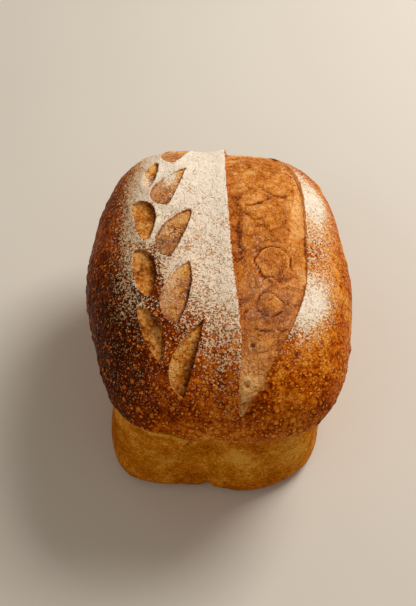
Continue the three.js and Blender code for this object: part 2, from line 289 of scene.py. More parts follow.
# Streaks of pale flecks on the slash's floor, partly painted glints
STREAKS = ((4, 66, 5, 16, 1), (12, -2, 5, 12, 0.8), (33, 66, 6, 12, 1), (16, -30, 4, 14, 1))
BARE_PATCH = (-63, 70, 15, 20)
FLOUR_SWELLS = ((48, 38, 99, 20), (44, -32, 99, 17))

# Fades over the height: where each starts and where it is full
UPPER = (50.0, 66.0)
FOOT = (0.5, 7.0)
FLOURED = (74.0, 92.0)
# Fades onto the front face along Y, for its colours and its relief
FRONT_FACE = (-60.0, -72.0)
FRONT_RELIEF = (-62.0, -72.0)
# The cuts lie above CUT_LEVEL. A point this near a cut is in it when it has sunk this deep, and
# OUTSIDE stands for a point near no cut, NO_EDGE for the distance of one near no edge.
CUT_LEVEL = 82.0
SLASH_NEAR = 2.6
SLASH_SUNK = 0.5
LEAF_NEAR = 1.8
LEAF_SUNK = 0.4
OUTSIDE = -3.0
NO_EDGE = 9.0

# How finely the mesh is divided
GRID_X = 214
GRID_Y = 272
UNDER_RINGS = 18
WALL_RINGS = 22
FOOT_RINGS = 5
SLASH_STEP = 0.9
CUT_TOP = 140.0
CUT_BELOW = 8.0
LATTICE = 40
TINY = 1e-9
FAR = 1e9

# Sizes of the crust's noises and spots
GRIT_SIZE = 0.55
GRAIN_SIZE = 1.1
FINE_SIZE = 1.9
MIDDLE_SIZE = 7.0
BROAD_SIZE = 34.0
BLISTER_CELL = 2.3
SPECK_CELL = 1.2
FLOUR_CELL = 0.68
BUMP_HEIGHT = 0.6
SPECULAR = 0.02

# Colours
CRUST_STOPS = (
    (0.00, (0.78, 0.350, 0.060)),
    (0.18, (0.66, 0.200, 0.010)),
    (0.36, (0.46, 0.088, 0.001)),
    (0.55, (0.26, 0.032, 0.000)),
    (0.75, (0.120, 0.017, 0.000)),
    (1.00, (0.042, 0.008, 0.000)),
)
BAND_STOPS = (
    (0.20, (0.20, 0.036, 0.002)),
    (0.40, (0.46, 0.122, 0.010)),
    (0.58, (0.66, 0.222, 0.028)),
    (0.84, (0.86, 0.450, 0.150)),
    (1.00, (0.84, 0.500, 0.190)),
)
LEAF_STOPS = (
    (0.20, (0.15, 0.034, 0.003)),
    (0.44, (0.40, 0.106, 0.005)),
    (0.60, (0.59, 0.205, 0.024)),
    (0.82, (0.78, 0.400, 0.110)),
)
BASE_STOPS = (
    (0.22, (0.28, 0.062, 0.001)),
    (0.42, (0.47, 0.128, 0.001)),
    (0.58, (0.60, 0.195, 0.004)),
    (0.80, (0.78, 0.370, 0.050)),
)
FLOUR = (0.89, 0.800, 0.690)
SPARSE_FLOUR = (0.90, 0.660, 0.420)
THIN_FLOUR = (0.70, 0.490, 0.290)
# Browned flour grains; on the left flank also painted shade
TAN_GRAIN = (0.72, 0.490, 0.260)
# Pale tops of the blisters, partly painted highlight
BLISTER_TOP_HIGHLIGHT = (0.90, 0.480, 0.120)
# Pale flecks and pink dust in the cuts, partly painted glints and sheen
FLECK_AND_GLINT = (0.88, 0.700, 0.520)
PINK_DUST_AND_SHEEN = (0.68, 0.410, 0.250)
FLOOR_TONES = ((0.66, 0.62, 0.56), (0.70, 0.66, 0.60))

# Studio in metres: floor, lights as name, place, size, power and colour, and the world's light
FLOOR_REACH = 3.0
LIGHTS = (
    ("key", (0.55, 0.50, 0.85), 0.5, 11.0, (1.0, 0.95, 0.88)),
    ("fill", (-0.7, -0.8, 0.9), 1.2, 2.6, (1.0, 0.90, 0.78)),
)
LIGHT_TARGET = (0, 0, 0.06)
WORLD_COLOUR = (1.0, 0.90, 0.76)
WORLD_STRENGTH = 0.26

# Camera: elevation, distance and turn about the loaf, the point it looks at, and focal length
CAMERA_ELEVATION = math.radians(54.0)
CAMERA_DISTANCE = 600.0
CAMERA_TURN = math.radians(1.7)
CAMERA_TARGET = (-9.0, 2.5, 60.0)
CAMERA_PIXELS = 1082.6
IMAGE_HEIGHT = 606
SENSOR_SIZE = 36


def smooth(low, high, value):
    t = np.clip((value - low) / (high - low), 0, 1)
    return t * t * (3 - 2 * t)


def between(value, start, full, fade, end):
    """Rises from start to full and falls again from fade to end."""
    return smooth(start, full, value) * smooth(end, fade, value)


def hump(x, y, cx, cy, rx, ry):
    return np.exp(-((x - cx) / rx) ** 2 - ((y - cy) / ry) ** 2)


def bell(value, width):
    return np.exp(-(value / width) ** 2)


def patches(x, y, rows):
    """Sum of soft patches, each with its own amount."""
    return sum(amount * hump(x, y, *place) for *place, amount in rows)


def lattice_cell(points, size):
    """The lattice cell that each point is in, and the point's share across it."""
    place = points / size + 1000.0
    cell = np.floor(place).astype(int)
    return cell, place - cell


def lattice_noise(points, size, seed):
    """Smooth noise in -1..1 at points (n, 3), with bumps about size apart."""
    table = np.random.default_rng(seed).uniform(-1, 1, (LATTICE, LATTICE, LATTICE))
    cell, share = lattice_cell(points, size)
    share = share * share * (3 - 2 * share)
    total = np.zeros(len(points))
    for corner in product((0, 1), repeat=3):
        weight = np.where(corner, share, 1 - share)
        a, b, c = ((cell + corner) % LATTICE).T
        total += weight[:, 0] * weight[:, 1] * weight[:, 2] * table[a, b, c]
    return total


def fractal(points, size, seed, octaves=3):
    total = np.zeros(len(points))
    for k in range(octaves):
        total += lattice_noise(points, size / 2 ** k, seed + k) / 2 ** k
    return total / 1.5


def cells(points, size, seed):
    """Distance to the nearest of scattered spots, and that spot's own number in 0..1."""
    rng = np.random.default_rng(seed)
    jitter = rng.uniform(0.1, 0.9, (LATTICE, LATTICE, LATTICE, 3))
    number = rng.uniform(0, 1, (LATTICE, LATTICE, LATTICE))
    cell, share = lattice_cell(points, size)
    best = np.full(len(points), FAR)
    own = np.zeros(len(points))
    for offset in product((-1, 0, 1), repeat=3):
        a, b, c = ((cell + offset) % LATTICE).T
        distance = np.linalg.norm(jitter[a, b, c] + offset - share, axis=1)
        near = distance < best
        best[near] = distance[near]
        own[near] = number[a, b, c][near]
    return best * size, own


def push_at(angle, column):
    total = 0
    for row in PUSHES:
        turn = np.arctan2(np.sin(angle - row[0]), np.cos(angle - row[0]))
        total = total + row[column] * bell(turn, PUSH_WIDTH)
    return total


def rounded_square(u, v, n):
    return u * (1 - np.abs(v) ** n / 2) ** (1 / n), v * (1 - np.abs(u) ** n / 2) ** (1 / n)


def radial(x, y, distance):
    angle = np.arctan2(y, x)
    return x + distance * np.cos(angle), y + distance * np.sin(angle)


def dome_plan(u, v):
    n = DOME_SQUARENESS
    x, y = rounded_square(u, v, n)
    rho = np.minimum(1, (np.abs(x) ** n + np.abs(y) ** n) ** (1 / n))
    eased = np.sin(rho * math.pi / 2)
    stretch = np.where(rho > TINY, eased / np.maximum(rho, TINY), math.pi / 2)
    px = x * stretch * DOME_HALF_WIDTH
    py = y * stretch * DOME_HALF_LENGTH
    return radial(px, py, push_at(np.arctan2(py, px), 1) * eased * eased)


def dome_height(x, y):
    n = DOME_SQUARENESS
    far = np.hypot(x, y) + TINY
    across, along = np.abs(x / far / DOME_HALF_WIDTH), np.abs(y / far / DOME_HALF_LENGTH)
    unit = (across ** n + along ** n) ** (1 / n)
    push = push_at(np.arctan2(y, x), 1) * unit * unit
    push = np.where(np.abs(push) > TINY, push, TINY)
    inner = (np.sqrt(np.maximum(0, 1 + 4 * push * far)) - 1) / (2 * push)
    r = np.minimum(1, inner * unit)
    lift = np.clip((-x / DOME_HALF_WIDTH + y / DOME_HALF_LENGTH) / 2, 0, 1) ** SHOULDER_POWER
    dome = DOME_RISE * (1 - r ** DOME_CURVE) ** 0.5
    return DOME_HEIGHT + dome + SHOULDER * lift * (1 - r ** SHOULDER_FALL)


def dome_normal(x, y):
    step = 0.5
    dx = (dome_height(x + step, y) - dome_height(x - step, y)) / (2 * step)
    dy = (dome_height(x, y + step) - dome_height(x, y - step)) / (2 * step)
    normal = np.stack([-dx, -dy, np.ones_like(dx)], -1)
    return normal / np.linalg.norm(normal, axis=-1, keepdims=True)


def slash_edge(y, column):
    """X of the slash's left (1) or right (2) edge, as a smooth curve through the stations."""
    ys = np.array([row[0] for row in reversed(SLASH)])
    xs = np.array([row[column] for row in reversed(SLASH)])
    slope = np.gradient(xs, ys)
    y = np.clip(y, ys[0], ys[-1])
    k = np.clip(np.searchsorted(ys, y, side="right") - 1, 0, len(ys) - 2)
    span = ys[k + 1] - ys[k]
    t = (y - ys[k]) / span
    return (
        (1 + 2 * t) * (1 - t) ** 2 * xs[k]
        + t * (1 - t) ** 2 * span * slope[k]
        + t * t * (3 - 2 * t) * xs[k + 1]
        + t * t * (t - 1) * span * slope[k + 1]
    )


def slash_outline():
    back, front = SLASH[0][0], SLASH[-1][0]
    y = np.linspace(back, front, int((back - front) / SLASH_STEP))
    left = np.stack([slash_edge(y, 1), y], -1)
    right = np.stack([slash_edge(y, 2), y], -1)
    return np.vstack([left, right[::-1]])


def leaf_side(leaf, side, t):
    foot, tip, at, full = np.array(leaf[0]), np.array(leaf[1]), leaf[4 + side], leaf[6]
    axis = tip - foot
    across = np.array([-axis[1], axis[0]]) / np.hypot(*axis)
    rise, fall = full * at, full * (1 - at)
    out = leaf[2 + side] * t ** rise * (1 - t) ** fall / (at ** rise * (1 - at) ** fall)
    return foot + t[:, None] * axis + (out * (1 if side == 0 else -1))[:, None] * across


def leaf_outline(leaf):
    t = (1 - np.cos(math.pi * np.arange(LEAF_POINTS + 1) / LEAF_POINTS)) / 2
    return np.vstack([leaf_side(leaf, 1, t), leaf_side(leaf, 0, t)[1:-1][::-1]])


def leaf_place(leaf, x, y):
    """Distance from a leaf's middle, 1 at its sides, and the shares along and across it."""
    foot, tip = leaf[0], leaf[1]
    ax, ay = tip[0] - foot[0], tip[1] - foot[1]
    length = math.hypot(ax, ay)
    along = ((x - foot[0]) * ax + (y - foot[1]) * ay) / length ** 2
    across = ((x - foot[0]) * ay - (y - foot[1]) * ax) / length
    place = (across + leaf[2]) / (leaf[2] + leaf[3])
    away = np.hypot(2 * along - 1, 2 * place - 1)
    return away, np.clip(along, 0, 1), np.clip(place, 0, 1)


def nearest_leaf(x, y):
    """The nearest leaf cut's number, whether it is near, and the shares along and across it."""
    places = np.array([leaf_place(leaf, x, y) for leaf in LEAVES])
    number = np.argmin(places[:, 0], axis=0)
    away, along, across = places[number, :, np.arange(len(x))].T
    near = away < LEAF_REACH
    return number, near, along * near, across * near


def leaf_depth(number, across):
    """Depth of a leaf's floor, slanted down to one side or risen again in the middle."""
    slanted = LEAF_SHALLOW + (LEAF_DEEP - LEAF_SHALLOW) * across
    side = np.where(across < 0.5, PUFF_LEFT, PUFF_RIGHT)
    puffed = PUFF_MIDDLE + (side - PUFF_MIDDLE) * np.abs(2 * across - 1) ** PUFF_POWER
    return np.where(np.array([leaf[7] for leaf in LEAVES])[number], puffed, slanted)


def slash_place(x, y):
    left, right = slash_edge(y, 1), slash_edge(y, 2)
    return np.clip((x - left) / np.maximum(1, right - left), 0, 1), left, right


def slash_depth(t, y):
    """Depth of the slash's floor: undercut at the left, swollen in the middle, low at the ends."""
    to_back = np.clip((y - SLASH_BACK) / (SLASH[0][0] - SLASH_BACK), 0, 1)
    to_front = np.clip((y - SLASH_FRONT) / (SLASH[-1][0] - SLASH_FRONT), 0, 1)
    share = 1 - (1 - SLASH_END_SHARE) * np.maximum(to_back, to_front)
    at_edge = (SLASH_LEFT_DEPTH + (SLASH_RIGHT_DEPTH - SLASH_LEFT_DEPTH) * t) * share
    return SLASH_MIDDLE_DEPTH + (at_edge - SLASH_MIDDLE_DEPTH) * np.abs(2 * t - 1) ** SLASH_SWELL_POWER


def floor_depth(x, y):
    """Depth of the cuts' floors below the crust, 0 away from every cut."""
    t, left, right = slash_place(x, y)
    in_slash = (x > left - SLASH_REACH) & (x < right + SLASH_REACH)
    in_slash &= np.abs(y) < SLASH[0][0] + SLASH_END_REACH
    number, near, along, across = nearest_leaf(x, y)
    return np.where(in_slash, slash_depth(t, y), near * leaf_depth(number, across))


def lip_rise(x, y):
    """The crust beside the slash stands up, most at its left."""
    t, left, right = slash_place(x, y)
    outside = np.where(x < (left + right) / 2, np.maximum(0, left - x), np.maximum(0, x - right))
    ends = np.clip((right - left) / LIP_FULL_FROM, 0, 1) * (np.abs(y) < SLASH[0][0])
    return LIP_HEIGHT * (1 - LIP_LOWER_RIGHT * t) * ends * bell(outside, LIP_WIDTH)


def leaf_rims(x, y):
    """The crust curls up a little round each leaf cut."""
    total = np.zeros_like(x)
    for leaf in LEAVES:
        away = -outline_distance(x, y, leaf_outline(leaf))
        total = np.maximum(total, RIM_RISE * bell(np.maximum(away, 0), RIM_SPREAD))
    return total


def wall_ring(z, inset, dome):
    share = z / RIM_HEIGHT
    a = FLOOR_HALF_WIDTH + (RIM_HALF_WIDTH - FLOOR_HALF_WIDTH) * share - inset
    b = FLOOR_HALF_LENGTH + (RIM_HALF_LENGTH - FLOOR_HALF_LENGTH) * share - inset
    return a, b, BASE_SQUARENESS, z, dome, 1.0


def ring_sizes():
    """Rings from the dome's edge to the floor: half sizes, squareness, height, pushes' shares."""
    edge = np.array((DOME_HALF_WIDTH, DOME_HALF_LENGTH, DOME_SQUARENESS, DOME_HEIGHT, 1, 0))
    rim = np.array(wall_ring(RIM_HEIGHT, 0, PUSH_AT_RIM))
    rings = []
    for i in range(1, UNDER_RINGS + 1):
        t = i / UNDER_RINGS
        tuck = (1 - math.cos(math.pi * t)) / 2
        rings.append(edge + (rim - edge) * tuck)
        rings[-1][3] = DOME_HEIGHT + (RIM_HEIGHT - DOME_HEIGHT) * t
    for i in range(1, WALL_RINGS + 1):
        t = i / WALL_RINGS
        rings.append(wall_ring(RIM_HEIGHT + (FOOT_RADIUS - RIM_HEIGHT) * t, 0, PUSH_AT_RIM * (1 - t)))
    for i in range(1, FOOT_RINGS + 1):
        t = i / FOOT_RINGS * math.pi / 2
        rings.append(wall_ring(FOOT_RADIUS * (1 - math.sin(t)), FOOT_RADIUS * (1 - math.cos(t)), 0))
    return rings


def ring_points(u, v, ring):
    a, b, n, z, dome, base = ring
    x, y = rounded_square(u, v, n)
    px, py = x * a, y * b
    angle = np.arctan2(py, px)
    x, y = radial(px, py, push_at(angle, 1) * dome + push_at(angle, 2) * base)
    y = y - np.where(y < 0, LOBE_SIZE * base * bell(x - LOBE_X, LOBE_WIDTH), 0)
    return np.stack([x, y, np.full_like(x, z)], -1)


def strip(above, below):
    """Triangles between two rings of points; the one below may have half as many."""
    ahead = np.roll(below, -1)
    if len(above) == len(below):
        corners = ((above, below, ahead), (above, ahead, np.roll(above, -1)))
    else:
        middle, last = above[1::2], np.roll(above[::2], -1)
        corners = ((above[::2], below, middle), (middle, below, ahead), (middle, ahead, last))
    return [np.stack(corner, -1) for corner in corners]


def loaf_surface():
    """Smooth loaf as points and triangles; the first points are the dome's grid."""
    u, v = np.meshgrid(np.linspace(-1, 1, GRID_X + 1), np.linspace(-1, 1, GRID_Y + 1))
    x, y = dome_plan(u, v)
    z = dome_height(x, y)
    border = np.zeros_like(z, bool)
    border[0, :] = border[-1, :] = border[:, 0] = border[:, -1] = True
    z[border] = DOME_HEIGHT
    points = [np.stack([x, y, z], -1).reshape(-1, 3)]
    index = np.arange((GRID_X + 1) * (GRID_Y + 1)).reshape(GRID_Y + 1, GRID_X + 1)
    a, b, c, d = index[:-1, :-1], index[:-1, 1:], index[1:, 1:], index[1:, :-1]
    triangles = [np.stack([a, b, c], -1).reshape(-1, 3), np.stack([a, c, d], -1).reshape(-1, 3)]
    above = np.concatenate([index[0, :-1], index[:-1, -1], index[-1, :0:-1], index[:0:-1, 0]])
    bu, bv = u.ravel()[above], v.ravel()[above]
    count = index.size
    for level, ring in enumerate(ring_sizes()):
        if level == UNDER_RINGS:
            bu, bv = bu[::2], bv[::2]
        points.append(ring_points(bu, bv, ring))
        below = count + np.arange(len(bu))
        triangles += strip(above, below)
        above = below
        count += len(bu)
    points.append(np.zeros((1, 3)))
    triangles.append(np.stack([np.roll(above, -1), above, np.full(len(above), count)], -1))
    return np.vstack(points), np.vstack(triangles), index.size


def point_normals(points, triangles):
    a, b, c = (points[triangles[:, k]] for k in range(3))
    face = np.cross(b - a, c - a)
    normals = np.zeros_like(points)
    for k in range(3):
        for axis in range(3):
            normals[:, axis] += np.bincount(triangles[:, k], face[:, axis], len(points))
    return normals / (np.linalg.norm(normals, axis=1, keepdims=True) + 1e-12)


def linked_object(name, data):
    made = bpy.data.objects.new(name, data)
    bpy.context.scene.collection.objects.link(made)
    return made


def mesh_object(name, points, triangles):
    mesh = bpy.data.meshes.new(name)
    mesh.vertices.add(len(points))
    mesh.vertices.foreach_set("co", (points * MM).astype(np.float32).ravel())
    mesh.loops.add(len(triangles) * 3)
    mesh.loops.foreach_set("vertex_index", triangles.astype(np.int32).ravel())
    mesh.polygons.add(len(triangles))
    mesh.polygons.foreach_set("loop_start", np.arange(0, len(triangles) * 3, 3, dtype=np.int32))
    mesh.update(calc_edges=True)
    return linked_object(name, mesh)


def cutter(name, outline, undercut):
    """A closed prism over an outline, undercut below the crust, ready to take the cut out."""
    area = np.sum(outline[:, 0] * np.roll(outline[:, 1], -1) - outline[:, 1] * np.roll(outline[:, 0], -1))
    if area < 0:
        outline = outline[::-1]
    count = len(outline)
    x, y = outline[:, 0], outline[:, 1]
    z = dome_height(x, y)
    along = np.roll(outline, -1, 0) - np.roll(outline, 1, 0)
    along /= np.linalg.norm(along, axis=1, keepdims=True) + TINY
    low = np.stack([x + along[:, 1] * undercut, y - along[:, 0] * undercut, z], -1)
    points = np.vstack([
        np.stack([x, y, np.full(count, CUT_TOP)], -1),
        np.stack([x, y, z + LIP_HEIGHT * 0.5], -1),
        low - dome_normal(x, y) * CUT_BELOW,
    ])
    top, middle, bottom = (level * count + np.arange(count) for level in range(3))
    cap = np.array(geometry.tessellate_polygon([[Vector((p[0], p[1], 0)) for p in outline]]))
    a, b, c = (outline[cap[:, i]] for i in range(3))
    turn = (b[:, 0] - a[:, 0]) * (c[:, 1] - a[:, 1]) - (b[:, 1] - a[:, 1]) * (c[:, 0] - a[:, 0])
    cap[turn < 0] = cap[turn < 0][:, ::-1]
    triangles = strip(top, middle) + strip(middle, bottom) + [cap, 2 * count + cap[:, ::-1]]
    return mesh_object(name, points, np.vstack(triangles))


def apply_boolean(piece, other, operation):
    modifier = piece.modifiers.new("cut", "BOOLEAN")
    modifier.solver = "MANIFOLD"
    modifier.operation = operation
    modifier.object = other
    depsgraph = bpy.context.evaluated_depsgraph_get()
    result = bpy.data.meshes.new_from_object(piece.evaluated_get(depsgraph))
    piece.modifiers.clear()
    old = piece.data
    piece.data = result
    bpy.data.meshes.remove(old)
    mesh = other.data
    bpy.data.objects.remove(other)
    bpy.data.meshes.remove(mesh)


def path_distance(x, y, path):
    """Distance in plan to the nearest line between a path's points."""
    best = np.full(len(x), FAR)
    for (ax, ay), (bx, by) in zip(path, path[1:]):
        ex, ey = bx - ax, by - ay
        t = np.clip(((x - ax) * ex + (y - ay) * ey) / (ex * ex + ey * ey), 0, 1)
        best = np.minimum(best, (x - ax - t * ex) ** 2 + (y - ay - t * ey) ** 2)
    return np.sqrt(best)


def outline_distance(x, y, outline):
    """Distance in plan to a closed outline, positive inside."""
    closed = np.vstack([outline, outline[:1]])
    inside = np.zeros(len(x), bool)
    for (ax, ay), (bx, by) in zip(closed, closed[1:]):
        if ay != by:
            inside ^= ((ay > y) != (by > y)) & (x < ax + (y - ay) * (bx - ax) / (by - ay))
    return path_distance(x, y, closed) * np.where(inside, 1, -1)


def blister_zone(p):
    """Where the crust is blistered: most towards the front and left, least under the flour."""
    x, y, z = p.T
    front = smooth(-25, -75, y)
    left = smooth(-40, -62, x) * 0.55
    right = smooth(48, 62, x) * 0.4
    return np.clip(0.25 + front + left + right, 0, 1) * smooth(*UPPER, z)


def blisters(p):
    """Height of the larger blisters in mm, and the share out from the nearest one's middle."""
    zone = blister_zone(p)
    total = np.zeros(len(p))
    nearest = np.full(len(p), 2.0)
    for size, height, seed in BLISTER_SIZES:
        distance, own = cells(p, size, seed)
        out = distance / (size * (0.20 + 0.24 * own))
        present = (own * 7.3 % 1) < 0.20 + 0.60 * zone
        dome = np.sqrt(np.clip(1 - out ** 2, 0, 1))
        total = np.maximum(total, height * dome * present * (0.4 + 0.6 * own) * (0.35 + 0.65 * zone))
        nearest = np.where(present, np.minimum(out, nearest), nearest)
    return total, nearest


def lumps(p):
    """Broad unevenness that the crust and the cuts' floors share."""
    upper, above_foot = smooth(*UPPER, p[:, 2]), smooth(*FOOT, p[:, 2])
    return (1.1 * fractal(p, 26, 11) + 0.3 * fractal(p, 8, 21)) * (0.55 + 0.45 * upper) * above_foot


def base_marks(p):
    """Crease, bottom notch and rough patch of the front face, in mm."""
    x, y, z = p.T
    marks = ROUGH_HEIGHT * lattice_noise(p, 3.4, 45) * hump(x, z, *ROUGH_PATCH)
    marks -= NOTCH_DEPTH * hump(x, z, *NOTCH)
    for path, depth in BASE_CREASES:
        away = path_distance(x, z, path)
        lip = 0.5 * bell(away - CREASE_LIP_AWAY, CREASE_LIP_WIDTH)
        marks += depth * (lip - bell(away, CREASE_WIDTH))
    return marks * smooth(*FRONT_RELIEF, y)


def crust_grain(p):
    """Grain, pores and blisters of the crust and the golden sides, in mm along the normal."""
    lower = 1 - smooth(*UPPER, p[:, 2])
    grain = 0.16 * lattice_noise(p, 2.4, 31)
    pores = -0.35 * smooth(0.55, 0.9, lattice_noise(p, 3.0, 41)) * lower
    coarse = 0.22 * lattice_noise(p, 4.2, 43) * lower
    above_foot = smooth(*FOOT, p[:, 2])
    return (grain + pores + coarse + blisters(p)[0]) * above_foot + base_marks(p) * smooth(-1, 2, p[:, 2])


def arc_place(x, y, arc):
    """Distance out from a round wrinkle's ring, and how clearly the wrinkle shows here."""
    cx, cy, rx, ry, start, end = arc
    angle = np.arctan2((y - cy) / ry, (x - cx) / rx)
    middle, half = (start + end) / 2, (end - start) / 2
    off = np.abs(np.arctan2(np.sin(angle - middle), np.cos(angle - middle)))
    away = (np.hypot((x - cx) / rx, (y - cy) / ry) - 1) * (rx + ry) / 2
    return away, smooth(half + ARC_PAST_END, half - ARC_BEFORE_END, off)


def arc_ridges(x, y):
    total = np.zeros_like(x)
    for arc in ARCS:
        away, share = arc_place(x, y, arc)
        ridge = 0.8 * bell(away, ARC_WIDTH) - 1.2 * bell(away - ARC_GROOVE, ARC_GROOVE_WIDTH)
        total += ARC_HEIGHT * share * ridge
    return total


def seam_distance(x, y):
    """Distance in plan to the nearest crease line, in mm."""
    best = np.full_like(x, NO_EDGE)
    for arc in ARCS:
        away, share = arc_place(x, y, arc)
        best = np.minimum(best, np.abs(away - ARC_GROOVE) + 2 * (1 - share))
    for path, depth in TEARS:
        best = np.minimum(best, path_distance(x, y, path) + 0.6 * (1 - depth))
    return best


def fold_side(x, y):
    """1 right of the fold, 0 left of it, and how clearly the fold shows at this Y."""
    xs, ys = zip(*reversed(FOLD))
    line = np.interp(y, ys, xs)
    return smooth(line - 0.5, line + 0.5, x), between(y, -4, 18, 74, 84)


def fold_step(p):
    """The crust left of the fold stands over the strip right of it."""
    x, y = p[:, 0], p[:, 1]
    right_side, fold = fold_side(x + 0.8 * lattice_noise(p, 7, 63), y)
    return FOLD_STEP * fold * (0.45 - right_side) * smooth(10, 2, np.abs(x - FOLD_X))


def wrinkle_lines(p, size, seed, width):
    """Thin creases along the zero lines of a noise, 0 away from them and 1 on them."""
    level = lattice_noise(p, size, seed) + 0.35 * lattice_noise(p, size * 0.4, seed + 1)
    return bell(level, width)


def warped(p):
    """Plan position pushed about a little, so that drawn lines come out uneven."""
    return p[:, 0] + 1.3 * lattice_noise(p, 5.5, 61), p[:, 1] + 1.3 * lattice_noise(p, 5.5, 62)


def strand_relief(p):
    """Puckers drawn out along the tear, with thin creases between them, in mm."""
    x, y, z = p.T
    strands = np.stack([x * 0.8 + y * 0.25, y * 1.25 - x * 0.45, z * 0.5], -1)
    puckers = 0.55 * lattice_noise(strands, 9.0, 81) + 0.30 * lattice_noise(strands, 4.0, 91)
    puckers += 0.12 * lattice_noise(p, 1.9, 93)
    creases = 0.60 * wrinkle_lines(strands, 10.0, 95, 0.10) + 0.40 * wrinkle_lines(strands, 5.5, 97, 0.13)
    return puckers - creases


def tear_relief(x, y):
    total = np.zeros_like(x)
    for path, depth in TEARS:
        total -= depth * bell(path_distance(x, y, path), TEAR_WIDTH)
    return total


def hole_relief(x, y):
    """Open bubbles with a raised rim."""
    total = np.zeros_like(x)
    for hx, hy, radius in HOLES:
        away = np.hypot(x - hx, y - hy) / radius
        rim = 0.35 * bell(away - 1.15, 0.3)
        total += rim - HOLE_DEPTH * np.clip(1 - away ** 2, 0, 1) ** 0.5
    return total


def floor_relief(p):
    """Ridges and tears of the slash's floor and grain of the leaves, in mm."""
    x, y = p[:, 0], p[:, 1]
    left, right = slash_edge(y, 1), slash_edge(y, 2)
    in_slash = between(x, left - 3, left, right, right + 3)
    wx, wy = warped(p)
    right_side, fold = fold_side(wx, wy)
    plain = 1 - 0.7 * right_side * fold
    slash = strand_relief(p) * plain * (0.6 + 0.4 * smooth(-75, -40, y))
    slash = slash + arc_ridges(wx, wy) * plain + tear_relief(wx, wy) + hole_relief(x, y)
    grain = 0.28 * fractal(p, 6, 101) + 0.12 * lattice_noise(p, 2.2, 103)
    rise = 1.2 * smooth(0.55, 0.95, leaf_tones(x, y)[2])
    return slash * in_slash + (grain + rise) * (1 - in_slash)


def flour_density(p, slash_cut, leaf_cut):
    """Share of the crust hidden by flour, before its grains are drawn."""
    x, y, z = p.T
    left, right = slash_edge(y, 1), slash_edge(y, 2)
    strip_left = smooth(-64, -46, x) * smooth(left + 0.4, left - 0.4, x)
    strip_left *= smooth(-96, -14, y + 0.6 * (x + 10))
    strip_left *= 0.75 + 0.20 * smooth(-10, 60, y) + 0.06 * smooth(-20, -4, x)
    beside = 0.68 * between(x, -66, -46, -38, -20) * smooth(-60, 14, y)
    bare = 1 - 0.85 * hump(x, y, *BARE_PATCH)
    stalk = bell(path_distance(x, y, STALK), STALK_WIDTH) * smooth(22, -24, y)
    left_side = np.maximum(strip_left, beside) * bare * (1 - 0.6 * stalk)
    far = right + 5 + 8 * smooth(70, 40, y)
    swell = 0.40 + 0.50 * np.max([hump(x, y, *row) for row in FLOUR_SWELLS], axis=0)
    right_side = smooth(far + 9, far - 6, x) * smooth(right - 1.5, right + 0.2, x)
    right_side *= smooth(-72, -46, y) * swell
    sprinkle = 0.09 * smooth(-68, -50, x) * smooth(left + 2, left - 2, x) * smooth(-92, -74, y)
    on_crust = np.maximum(left_side, np.maximum(right_side, sprinkle))
    in_leaf = patches(x, y, LEAF_DUST) + 0.06
    return np.where(slash_cut > 0, 0, np.where(leaf_cut > 0, in_leaf, on_crust)) * smooth(*FLOURED, z)


def bake_field(p):
    """How darkly the crust is baked, 0 pale orange to 1 nearly black, with a painted shadow beside the
    slash's front part.
    """
    x, y, z = p.T
    left = (0.36 - 0.09 * smooth(-45, 0, y)) * smooth(-6, -56, x) * (1 - 0.6 * smooth(0, 50, y))
    front = 0.03 * smooth(-30, -75, y) + 0.14 * between(x, -56, -40, -2, 6) * smooth(-70, -40, y)
    right = -0.14 * smooth(30, 62, x)
    under = -0.12 * smooth(84, 68, z) * smooth(-50, -30, x)
    dusted = -0.16 * between(x, -60, -44, -4, 2) * smooth(-30, 10, y)
    beside_slash = slash_edge(y, 2) + 1.6
    # Painted shadow: a soft dark band just right of the slash's front part, under its lip.
    lip_shadow = 0.22 * bell(x - beside_slash, 2.4) * between(y, -92, -80, -50, -34)
    total = 0.33 + left + front + right + under + dusted + lip_shadow + patches(x, y, BAKE_PATCHES)
    return np.clip(total + 0.15 * fractal(p, 16, 111), 0, 1)


def leaf_tones(x, y):
    """How much paler the nearest leaf's floor is here, partly painted shadow where it is darker, and the
    shares across and along it.
    """
    number, near, along, across = nearest_leaf(x, y)
    left, right, foot, tip = np.array(LEAF_TONES)[number].T
    return near * (left + (right - left) * across + foot + (tip - foot) * along), across, along


def cut_fields(p, slash, leaf):
    """How far inside the slash and the leaf cuts each point is, OUTSIDE where it is near neither."""
    x, y, z = p.T
    above = (z - dome_height(x, y)) * dome_normal(x, y)[:, 2]
    sunk = lumps(p) + crust_grain(p) + lip_rise(x, y) + leaf_rims(x, y) - above
    near_slash = (slash > -SLASH_NEAR) & (z > CUT_LEVEL)
    near_leaf = (leaf > -LEAF_NEAR) & (z > CUT_LEVEL) & (slash < 0)
    slash_cut = np.where(near_slash, np.maximum(slash, np.minimum(sunk - SLASH_SUNK, 1)), OUTSIDE)
    leaf_cut = np.where(near_leaf, np.maximum(leaf, np.minimum(sunk - LEAF_SUNK, 1)), OUTSIDE)
    return slash_cut, leaf_cut


def base_field(p):
    """1 on the golden sides and 0 on the dark crust, with an uneven border."""
    x, y, z = p.T
    face = smooth(*FRONT_FACE, y)
    ragged = 1.8 * lattice_noise(p, 17, 121) + 1.0 * lattice_noise(p, 5, 122)
    border = RIM_HEIGHT + BORDER_ABOVE_RIM
    front_line = np.interp(x, *zip(*FRONT_LINE))
    border = border + (front_line - border) * face - ragged * (1 - 0.6 * face)
    border -= patches(x, y, BORDER_DROPS) * (1 - face)
    soft = 1.6 + 2.6 * smooth(14, 34, x) * face
    return smooth(border + soft, border - soft, z)


def base_tone(p):
    """Paler and darker places of the golden sides."""
    x, y, z = p.T
    pale = patches(x, z, FACE_TONES) * smooth(*FRONT_FACE, y)
    return pale + 0.22 * fractal(p, 14, 131) - 0.10 * smooth(44, 60, z)


